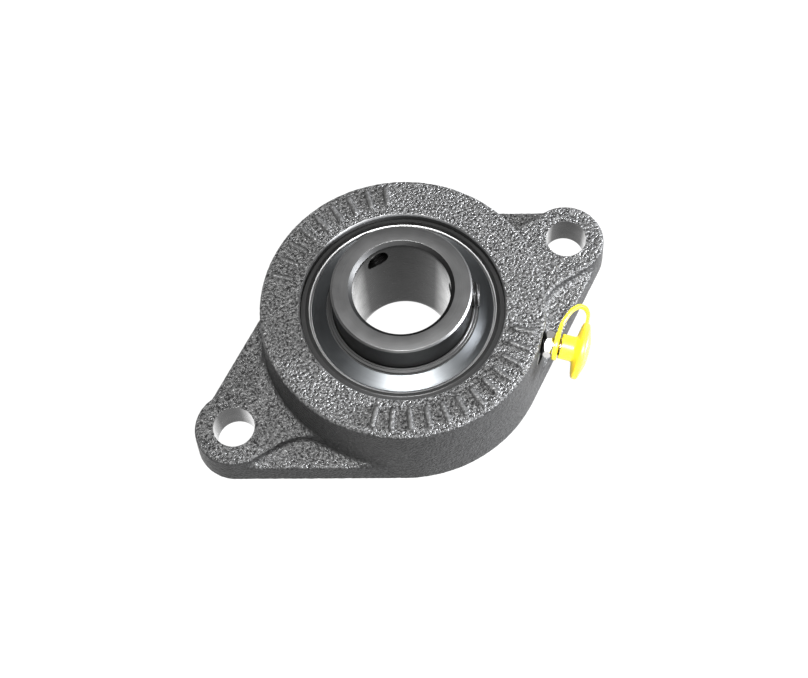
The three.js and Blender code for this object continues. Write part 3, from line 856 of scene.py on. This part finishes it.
def build_outer_ring(material, outside_shade_material, bright_material):
    """The ring with its round outside, grease groove, ball track and seats for the shrouds."""
    half = OUTER_HALF_WIDTH
    edge = SHROUD_SEAT_RADIUS + SEAT_ROUND
    shoulder = asin((half - OUTER_RING_CHAMFER) / SPHERE_RADIUS)
    start, end = (asin(height / SPHERE_RADIUS) for height in GREASE_GROOVE)
    step = half - SHROUD_SEAT_DEPTH
    break_out = OUTER_LAND_RADIUS - PITCH_RADIUS
    track = acos(break_out / GROOVE_RADIUS)
    floor = SPHERE_RADIUS - GREASE_GROOVE_DEPTH
    outline = [
        *arc((0, 0), SPHERE_RADIUS, -shoulder, start, 10),
        (floor * cos(start), floor * sin(start)),
        (floor * cos(end), floor * sin(end)),
        *arc((0, 0), SPHERE_RADIUS, end, shoulder, 3),
        (OUTER_FACE_RADIUS, half),
        (edge, half),
        *arc((edge, half - SEAT_ROUND), SEAT_ROUND, pi / 2, pi, 6)[1:],
        (SHROUD_SEAT_RADIUS, step),
        (OUTER_LAND_RADIUS, step),
        *arc((PITCH_RADIUS, 0), GROOVE_RADIUS, track, -track, 12),
        (OUTER_LAND_RADIUS, -step),
        (SHROUD_SEAT_RADIUS, -step),
        *arc((edge, SEAT_ROUND - half), SEAT_ROUND, pi, 1.5 * pi, 6),
        (OUTER_FACE_RADIUS, -half),
    ]
    shape = turned(eased(outline, 0.18), RING_SEGMENTS, CENTRE_Z)
    piece = make_piece("outer_race", *shape, material, outside_shade_material, bright_material)
    outside, bright = 1, 2
    for face in piece.data.polygons:
        radius = face.center.xy.length / MM
        # The round outside sits in the housing's seat and takes the seat's near-black painted shade.
        if radius > OUTSIDE_START:
            face.material_index = outside
        elif radius < edge:
            face.material_index = bright
    hole_end = SPHERE_RADIUS + OVERRUN
    bottom = PIN_ENDS[0] - PIN_CLEARANCE
    dimple = tube_outline(0, PIN_RADIUS + PIN_CLEARANCE, bottom, hole_end)
    combine(piece, lathe("dimple", dimple, 32, place=PIN_PLACE))
    oil_hole = tube_outline(0, RING_OIL_HOLE_RADIUS, OUTER_LAND_RADIUS - OVERRUN, hole_end)
    place = radial_matrix(FITTING_AZIMUTH, CENTRE_Z + RING_OIL_HOLE_HEIGHT)
    combine(piece, lathe("oil_hole", oil_hole, 24, place=place))
    return finish_piece(smooth(piece), "outer_ring", "outer_ring", "dark_steel")


def screw_hole_outline():
    """A countersink for the mouth of each screw hole."""
    mouth = INNER_RADIUS - SCREW_SINK_DEPTH
    wide = SCREW_MAJOR_RADIUS + THREAD_CLEARANCE
    above = mouth + OVERRUN
    return [(0, mouth - wide), (wide + OVERRUN, above), (0, above)]


def build_inner_ring(material, bore_material, side_material, chamfer_shade_material):
    front = INNER_HIGH.z - CENTRE_Z
    back = INNER_LOW.z - CENTRE_Z
    track = acos((INNER_RADIUS - PITCH_RADIUS) / GROOVE_RADIUS)
    bore_heights = np.linspace(front - BORE_CHAMFER, back + BORE_CHAMFER, BORE_ROWS)
    outline = [
        (SHAFT_BORE_RADIUS, back + BORE_CHAMFER),
        (SHAFT_BORE_RADIUS + BORE_CHAMFER, back),
        (INNER_RADIUS - RIM_CHAMFER, back),
        (INNER_RADIUS, back + RIM_CHAMFER),
        *arc((PITCH_RADIUS, 0), GROOVE_RADIUS, 2 * pi - track, track, 12),
        (INNER_RADIUS, front - RIM_CHAMFER),
        (INNER_RADIUS - RIM_CHAMFER, front),
        (SHAFT_BORE_RADIUS + BORE_CHAMFER, front),
        *[(SHAFT_BORE_RADIUS, height) for height in bore_heights[:-1]],
    ]
    shape = turned(eased(outline, 0.12), RING_SEGMENTS, CENTRE_Z)
    piece = make_piece("inner_race", *shape, material, bore_material, side_material, chamfer_shade_material)
    thread_radius = SCREW_MAJOR_RADIUS + THREAD_CLEARANCE
    thread = threaded_rod(thread_radius, SHAFT_BORE_RADIUS - OVERRUN, INNER_RADIUS + OVERRUN, chamfer=0.1)
    for azimuth in SCREW_AZIMUTHS:
        for name, tool in (("hole", thread), ("sink", turned(screw_hole_outline(), 48))):
            cutter = make_piece(name, *tool, side_material)
            cutter.matrix_world = radial_matrix(azimuth, SCREW_Z)
            combine(piece, cutter)
    bore, side, chamfer = 1, 2, 3
    for face in piece.data.polygons:
        radius = face.center.xy.length / MM
        height = face.center.z / MM
        if radius < BORE_END:
            face.material_index = bore
        # Painted shade: the front bore chamfer takes a darker steel than the rest of the ring, which dims its
        # reflection.
        elif radius < SHAFT_BORE_RADIUS + BORE_CHAMFER and height > SCREW_Z:
            face.material_index = chamfer
        elif INNER_LOW.z + RIM_CHAMFER < height < INNER_HIGH.z - RIM_CHAMFER - BORE_CHAMFER:
            face.material_index = side
    return finish_piece(smooth(piece), "inner_ring", "inner_ring", "ground_steel")


def sphere_outline(radius, height=0, steps=24):
    return arc((0, height), radius, -pi / 2, pi / 2, steps)


def ball_centres():
    for index in range(BALL_COUNT):
        angle = 2 * pi * index / BALL_COUNT
        yield Vector((PITCH_RADIUS * cos(angle), PITCH_RADIUS * sin(angle), CENTRE_Z)) * MM


def build_balls(material):
    for index, centre in enumerate(ball_centres()):
        name = f"ball_{index + 1}"
        place = Matrix.Translation(centre)
        piece = lathe(f"steel_{name}", sphere_outline(BALL_RADIUS), 48, material, place=place)
        finish_piece(smooth(piece), name, name, "ball_steel")


def build_cage(material):
    """A one-piece snap-in cage with an open pocket for each ball."""
    outline = tube_outline(CAGE_INNER_RADIUS, CAGE_RADIUS, CAGE_LOW.z, CAGE_HIGH.z)
    piece = lathe("snap_cage", eased(outline, 0.3), 180, material)
    for centre in ball_centres():
        pocket = sphere_outline(CAGE_POCKET_RADIUS, steps=16)
        combine(piece, lathe("pocket", pocket, 40, place=Matrix.Translation(centre)))
    return finish_piece(smooth(piece), "ball_cage", "ball_cage", "cage_plastic")


# ---- Seals ----

SHROUD_FRONT = SHROUD_HIGH.z - CENTRE_Z - SHROUD_CROWN
SHROUD_BEND = SHROUD_RADIUS - SHEET
SHROUD_SLOPE = SHROUD_CROWN / (SHROUD_BEND - SHROUD_INNER_RADIUS)


def shroud_height(radius):
    return SHROUD_FRONT + SHROUD_SLOPE * (SHROUD_BEND - radius)


def shroud_outline():
    """Sheet metal with a flat rim outside that rises in a cone towards the inner ring."""
    edge = shroud_height(SHROUD_INNER_RADIUS)
    return [
        (SHROUD_INNER_RADIUS, edge - SHEET),
        (SHROUD_BEND, SHROUD_FRONT - SHEET),
        (SHROUD_RADIUS, SHROUD_FRONT - SHEET),
        (SHROUD_RADIUS, SHROUD_FRONT),
        (SHROUD_BEND, SHROUD_FRONT),
        (SHROUD_INNER_RADIUS, edge),
    ]


def felt_outline():
    inner, outer = FELT_RADII
    inner_top, outer_top = (shroud_height(radius) - SHEET - FELT_GAP for radius in FELT_RADII)
    return [
        (inner, inner_top - FELT_THICKNESS),
        (outer, outer_top - FELT_THICKNESS),
        (outer, outer_top),
        (inner, inner_top),
    ]


def flinger_outline():
    low, high = FLINGER_LOW.z - CENTRE_Z, FLINGER_HIGH.z - CENTRE_Z
    inner, sleeve = FLINGER_RADII
    return [
        (inner, low),
        (FLINGER_RADIUS, low),
        (FLINGER_RADIUS, low + SHEET),
        (sleeve, low + SHEET),
        (sleeve, high),
        (inner, high),
    ]


def build_seals(sheet, felt, black):
    """The front and back seals. The back one is the front one turned over."""
    parts = [
        ("seal_shroud", shroud_outline(), 0.16, sheet, "outer_ring", "bright_sheet"),
        ("felt_ring", felt_outline(), 0.2, felt, "outer_ring", "felt"),
        ("flinger", flinger_outline(), 0.12, black, "inner_ring", "black_steel"),
    ]
    for end, turn in (("front", 0), ("back", pi)):
        place = Matrix.Translation((0, 0, CENTRE_Z * MM)) @ Matrix.Rotation(turn, 4, "X")
        for name, outline, easing, material, body, slot in parts:
            rounded = eased(outline, easing)
            piece = lathe(f"{end}_{name}_piece", rounded, RING_SEGMENTS, material, place=place)
            finish_piece(smooth(piece), body, f"{end}_{name}", slot)


# ---- Locking pin and set screws ----


def build_pin(material):
    outline = eased(tube_outline(0, PIN_RADIUS, *PIN_ENDS), 0.35)
    piece = lathe("dowel", outline, 40, material, place=PIN_PLACE)
    return finish_piece(smooth(piece), "locking_pin", "locking_pin", "dark_steel")


def build_set_screw(index, material):
    """A cup-point set screw with a hexagon socket in its outer end."""
    tip, end = SCREW_ENDS
    screw = threaded_rod(SCREW_MAJOR_RADIUS, tip, end, chamfer=0.5)
    piece = make_piece(f"grub_screw_{index + 1}", *screw, material)
    corner = SOCKET_ACROSS_FLATS / sqrt(3)
    socket_floor = end - SOCKET_DEPTH
    above = end + OVERRUN
    socket = [(0, socket_floor - SOCKET_TAPER), (corner, socket_floor), (corner, above), (0, above)]
    combine(piece, lathe("socket", socket, 6, material))
    lead = [(0, end - SOCKET_LEAD - corner), (corner + SOCKET_LEAD + OVERRUN, above), (0, above)]
    combine(piece, lathe("lead", lead, 48, material))
    below = tip - OVERRUN
    cup = [(0, below), (CUP_RADIUS + OVERRUN, below), (CUP_RADIUS, tip), (0, tip + CUP_DEPTH)]
    combine(piece, lathe("cup", cup, 48, material))
    piece.matrix_world = radial_matrix(SCREW_AZIMUTHS[index], SCREW_Z)
    name = f"set_screw_{index + 1}"
    return finish_piece(smooth(piece), name, name, "black_steel")


# ---- Grease fitting ----


def build_fitting(material, shank_shade_material):
    """The screwed-in nipple: thread, chamfered hexagon, neck and rounded head."""
    low, high = HEX_ENDS
    head_overlap, shank_overlap = HEX_OVERLAP
    collar = CAP_RING_ENDS[1]
    head = [
        (0, low - head_overlap),
        (NECK_RADIUS, low - head_overlap),
        (NECK_RADIUS, collar),
        (WAIST_RADIUS, collar + NIPPLE_CHAMFER),
        (NECK_RADIUS, NIPPLE_END - NECK_RADIUS),
        (NECK_RADIUS, NIPPLE_END - NECK_RADIUS + NIPPLE_LAND),
        (WAIST_RADIUS, NIPPLE_END - NIPPLE_CHAMFER),
        (WAIST_RADIUS - NIPPLE_CHAMFER, NIPPLE_END),
        (0, NIPPLE_END),
    ]
    piece = lathe("nipple", eased(head, 0.3), 48, material)
    corner = HEX_ACROSS_FLATS / sqrt(3)
    hexagon = lathe("hexagon", tube_outline(0, corner, low, high), 6, material)
    flat = corner - HEX_CHAMFER
    limits = [
        (0, low),
        (flat, low),
        (corner, low + HEX_CHAMFER),
        (corner, high - HEX_CHAMFER),
        (flat, high),
        (0, high),
    ]
    combine(hexagon, lathe("limits", limits, 96, material), "INTERSECT")
    combine(piece, hexagon, "UNION")
    # Painted shade: the threaded shank, down in the spot face, takes near-black steel in place of the
    # plating.
    thread = threaded_rod(SCREW_MAJOR_RADIUS, THREAD_START, low + shank_overlap, chamfer=0.3)
    combine(piece, make_piece("shank", *thread, shank_shade_material), "UNION")
    bore = [
        (0, THREAD_START - OVERRUN),
        (NIPPLE_BORE_RADIUS, THREAD_START - OVERRUN),
        (NIPPLE_BORE_RADIUS, CHECK_SEAT),
        (NIPPLE_MOUTH_RADIUS, CHECK_SEAT + NIPPLE_BORE_RADIUS - NIPPLE_MOUTH_RADIUS),
        (NIPPLE_MOUTH_RADIUS, NIPPLE_END + OVERRUN),
        (0, NIPPLE_END + OVERRUN),
    ]
    combine(piece, lathe("bore", bore, 32, material))
    piece.matrix_world = FITTING_PLACE
    return finish_piece(smooth(piece), "housing", "grease_fitting", "zinc_plate")


def build_check_ball(material):
    outline = sphere_outline(CHECK_BALL_RADIUS, CHECK_BALL_CENTRE, 16)
    piece = lathe("check_ball", outline, 32, material, place=FITTING_PLACE)
    return finish_piece(smooth(piece), "grease_check_ball", "grease_check_ball", "ball_steel")


def swept(route, section):
    """Points and faces of a section carried along a route of points. The section lies across the route,
    with its first coordinate kept along the local X axis."""
    route = [Vector(point) for point in route]
    points = []
    for index, place in enumerate(route):
        before = route[max(index - 1, 0)]
        after = route[min(index + 1, len(route) - 1)]
        forwards = (after - before).normalized()
        upwards = (Vector((1, 0, 0)) - forwards * forwards.x).normalized()
        across = forwards.cross(upwards)
        points += [place + upwards * first + across * second for first, second in section]
    size = len(section)
    faces = []
    for index in range(len(route) - 1):
        for corner in range(size):
            following = (corner + 1) % size
            start = index * size
            faces.append((start + corner, start + following, start + size + following, start + size + corner))
    faces.append(tuple(reversed(range(size))))
    faces.append(tuple(range(len(points) - size, len(points))))
    return points, faces


def circle_section(radius, segments):
    angles = [2 * pi * index / segments for index in range(segments)]
    return [(radius * cos(angle), radius * sin(angle)) for angle in angles]


def outward_point(distance):
    """A point on the fitting's axis, in metres, at a distance in millimetres from the shaft axis."""
    return FITTING_PLACE @ Vector((0, 0, distance * MM))


def build_spring(material):
    """The coil that pushes the check ball shut. It shortens with the ball."""
    end = CHECK_BALL_CENTRE - CHECK_BALL_RADIUS - SPRING_GAP
    steps = SPRING_TURNS * SPRING_STEPS
    route = []
    for step in range(steps + 1):
        angle = 2 * pi * SPRING_TURNS * step / steps
        height = SPRING_START + (end - SPRING_START) * step / steps
        route.append((SPRING_RADIUS * cos(angle), SPRING_RADIUS * sin(angle), height))
    piece = make_piece("coil", *swept(route, circle_section(SPRING_WIRE_RADIUS, 10)), material)
    piece.matrix_world = FITTING_PLACE
    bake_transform(piece, "housing", "grease_check_ball", outward_point(SPRING_START), outward_point(end))
    return finish_piece(smooth(piece, sharp_degrees=60), None, "grease_check_spring", "ball_steel")


# ---- Dust cap, strap and ring ----


def build_cap(material):
    """The moulded cap: a hollow stem and a wide, soft-edged disc. It hangs a little on the nipple."""
    rim_start, rim_end = CAP_RIM_ENDS
    outline = [
        (CAP_CAVITY_RADIUS, CAP_START),
        (CAP_STEM_RADIUS, CAP_START),
        (CAP_STEM_RADIUS, CAP_DISC_START),
        (CAP_DISC_RADIUS, rim_start),
        (CAP_DISC_RADIUS, rim_end),
        (CAP_DISC_RADIUS / 2, CAP_END - CAP_SAG),
        (0, CAP_END),
        (0, CAP_DISC_START),
        (CAP_CAVITY_RADIUS, CAP_DISC_START),
    ]
    pivot = Matrix.Translation((0, 0, NIPPLE_END * MM))
    place = FITTING_PLACE @ pivot @ Matrix.Rotation(CAP_DROOP, 4, "Y") @ pivot.inverted()
    piece = lathe("dust_cap", eased(outline, 0.7, 6), 96, material, place=place)
    return finish_piece(smooth(piece, sharp_degrees=50), "grease_cap", "grease_cap", "yellow_plastic")


def build_cap_ring(material):
    outline = eased(tube_outline(*CAP_RING_RADII, *CAP_RING_ENDS), 0.4, 5)
    piece = lathe("tie_ring", outline, 64, material, place=FITTING_PLACE)
    return finish_piece(smooth(piece), "housing", "cap_ring", "yellow_plastic")


def curve_through(route, steps=10):
    """A smooth route through the given points."""
    ends = [2 * route[0] - route[1], *route, 2 * route[-1] - route[-2]]
    result = []
    for a, b, c, d in zip(ends, ends[1:], ends[2:], ends[3:]):
        pull = (2 * a - 5 * b + 4 * c - d) / 2
        twist = (3 * b - a - 3 * c + d) / 2
        for step in range(steps):
            t = step / steps
            result.append(b + (c - a) * t / 2 + pull * t * t + twist * t ** 3)
    return [*result, route[-1]]


def build_strap(material):
    """The thin strap that ties the cap to its ring. It stretches out as the cap is pulled off."""
    route = curve_through([Vector((0, sideways, outwards)) for outwards, sideways in STRAP_ROUTE])
    width, thickness = STRAP_WIDTH / 2, STRAP_THICKNESS / 2
    rounding = 0.6 * thickness
    section = []
    for across, along, start in ((1, 1, 0), (-1, 1, 1), (-1, -1, 2), (1, -1, 3)):
        for step in range(4):
            angle = (start + step / 3) * pi / 2
            section.append((
                across * (width - rounding) + rounding * cos(angle),
                along * (thickness - rounding) + rounding * sin(angle),
            ))
    piece = make_piece("tie_strap", *swept(route, section), material)
    piece.matrix_world = FITTING_PLACE
    start = outward_point(CAP_RING_ENDS[1])
    end = outward_point(CAP_DISC_START + STRAP_GRIP)
    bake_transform(piece, "housing", "grease_cap", start, end)
    return finish_piece(smooth(piece, sharp_degrees=60), None, "cap_strap", "yellow_plastic")


# ---- Stage ----

LAMP_DISTANCE = 900
LAMP_AIM = Vector((0, 0, 15))


def build_floor():
    """A pale floor that stays almost white under the part."""
    material, tree, shader = new_material("pale_floor")
    set_inputs(tree, shader, Base_Color=grey(0.03), Roughness=0.9)
    set_inputs(tree, shader, Emission_Color=grey(1), Emission_Strength=0.95)
    half, level = 2500, -0.02
    corners = [(-half, -half, level), (half, -half, level), (half, half, level), (-half, half, level)]
    floor = make_piece("floor", corners, [(0, 1, 2, 3)], material)
    floor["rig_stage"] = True


def direction(azimuth_degrees, elevation_degrees):
    azimuth, elevation = radians(azimuth_degrees), radians(elevation_degrees)
    level = cos(elevation)
    return Vector((level * cos(azimuth), level * sin(azimuth), sin(elevation)))


def build_world():
    """A dim studio with a bright horizon, a glow behind the part and a smaller one before it."""
    world = bpy.data.worlds.new("studio")
    bpy.context.scene.world = world
    world.use_nodes = True
    tree = world.node_tree
    background = tree.nodes["Background"]
    view = add_node(tree, "ShaderNodeTexCoord").outputs["Generated"]
    height = add_node(tree, "ShaderNodeSeparateXYZ", Vector=view).outputs["Z"]
    colour = blend_colours(tree, remap(tree, height, 0.05, 0.4, 0, 1), grey(1.0), grey(0.12))
    glows = [
        (direction(62, 8), 0.93, grey(1.3)),
        (direction(-118, 25), 0.95, grey(6)),
    ]
    for towards, edge, stain_and_painted_sheen in glows:
        closeness = add_node(tree, "ShaderNodeVectorMath", {"operation": "DOT_PRODUCT"})
        connect(tree, closeness.inputs[0], view)
        closeness.inputs[1].default_value = towards
        share = remap(tree, closeness.outputs["Value"], edge, 0.99, 0, 1)
        colour = blend_colours(tree, share, colour, stain_and_painted_sheen)
    set_inputs(tree, background, Color=colour, Strength=0.4)


def add_softbox(name, towards, size, watts, colour=(1, 1, 1)):
    """A square light that faces the part. Its size is in metres."""
    light = bpy.data.lights.new(name, "AREA")
    light.size = size
    light.energy = watts
    light.color = colour
    lamp = add_object(name, light)
    lamp.location = (towards * LAMP_DISTANCE + LAMP_AIM) * MM
    lamp.rotation_euler = towards.to_track_quat("Z", "Y").to_euler()
    lamp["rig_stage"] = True


def build_lights():
    add_softbox("overhead", direction(-114, 73), size=0.3, watts=25)
    add_softbox("right_side", direction(-36, 10), size=0.25, watts=48, colour=(0.97, 0.99, 1.03))


def build_camera():
    """The camera at the photo's angle."""
    azimuth, elevation, roll = radians(-27.92), radians(64.93), radians(-3.96)
    distance, aim = 378.0, Vector((-1.92, -3.20, 12.26))
    level = cos(elevation)
    back = Vector((sin(azimuth) * level, -cos(azimuth) * level, sin(elevation)))
    right = Vector((cos(azimuth), sin(azimuth), 0))
    up = back.cross(right)
    rolled_right = right * cos(roll) + up * sin(roll)
    rolled_up = up * cos(roll) - right * sin(roll)
    data = bpy.data.cameras.new("camera")
    data.lens = 67.13
    data.sensor_width = 36
    data.clip_start = 0.01
    camera = add_object("camera", data)
    turn = Matrix((rolled_right, rolled_up, back)).transposed()
    camera.matrix_world = Matrix.Translation((aim + back * distance) * MM) @ turn.to_4x4()
    bpy.context.scene.camera = camera


def write_sizes():
    """Rounds the CAD's bounds and those of the finished piece into a table that nothing uses."""
    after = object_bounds()
    plain = {
        name: [[round(float(value), 7) for value in corner] for corner in bounds]
        for name, bounds in (("cad", cad_bounds), ("visual", after))
    }


def build_all():
    """Every piece with its materials. Each is given by its darkest and lightest shade, its roughness, and
    the width and depth of its turning marks or grain in millimetres."""
    paint = cast_iron_paint()
    bare = stained_metal_painted_sheen("machined_iron", 0.07, 0.8, 0.28, 0.12, 0.006)
    edge = steel("rubbed_edge_iron", 0.3, 0.42, 0.5, 0.3, 0.02)
    pocket = pocket_iron_painted_shade()
    dark = steel("turned_dark_steel", 0.03, 0.07, 0.35, 0.1, 0.006)
    worn = steel("worn_edge_steel", 0.35, 0.5, 0.5, 0.1, 0.004)
    # Painted shade: a darker copy of the ground steel for the front bore chamfer.
    shaded_chamfer = steel("shaded_chamfer_steel", 0.03, 0.05, 0.5, 0.1, 0.006)
    ground = steel("ground_steel", 0.1, 0.17, 0.42, 0.05, 0.008)
    # Black oxide for the inner ring's side, and painted shade on the grease fitting's threaded shank.
    blackened_and_shade = steel("blackened_and_shade_steel", 0.01, 0.02, 0.45, 0.1, 0.003)
    polished = stained_metal_painted_sheen("polished_bore", 0.015, 0.85, 0.28, 0.06, 0.003)
    chrome = steel("ball_steel", 0.62, 0.7, 0.08, 0.3, 0.0005)
    sheet = steel("spun_sheet", 0.12, 0.2, 0.46, 0.09, 0.006, (0.95, 1, 1.04), brushed=0.8)
    black = steel("black_oxide", 0.02, 0.05, 0.38, 0.08, 0.006, metallic=0.7)
    plate = steel("zinc_plate", 0.6, 0.8, 0.22, 0.12, 0.006, (1, 0.98, 0.95))
    felt = grained("felt_wool", grey(0.008), grey(0.035), 0.95, 0.12, 0.08, 4, 2)
    ivory = grained("cage_plastic", (0.55, 0.5, 0.38, 1), (0.7, 0.65, 0.5, 1), 0.5, 0.25, 0.01, 3, 1)
    yellow = grained(
        "yellow_plastic",
        (0.9, 0.68, 0.02, 1),
        (0.95, 0.8, 0.05, 1),
        0.34,
        0.5,
        0.012,
        Subsurface_Weight=0.4,
        Subsurface_Radius=(1.0, 0.8, 0.1),
        Subsurface_Scale=1.2 * MM,
    )
    build_housing(paint, pocket, bare, edge)
    build_outer_ring(dark, pocket, worn)
    build_inner_ring(ground, polished, blackened_and_shade, shaded_chamfer)
    build_balls(chrome)
    build_cage(ivory)
    build_seals(sheet, felt, black)
    build_pin(dark)
    for index in range(len(SCREW_AZIMUTHS)):
        build_set_screw(index, black)
    build_fitting(plate, blackened_and_shade)
    build_check_ball(chrome)
    build_spring(chrome)
    build_cap(yellow)
    build_cap_ring(yellow)
    build_strap(yellow)


build_all()
build_floor()
build_world()
build_lights()
build_camera()
bpy.context.scene.view_settings.view_transform = "Standard"
write_sizes()
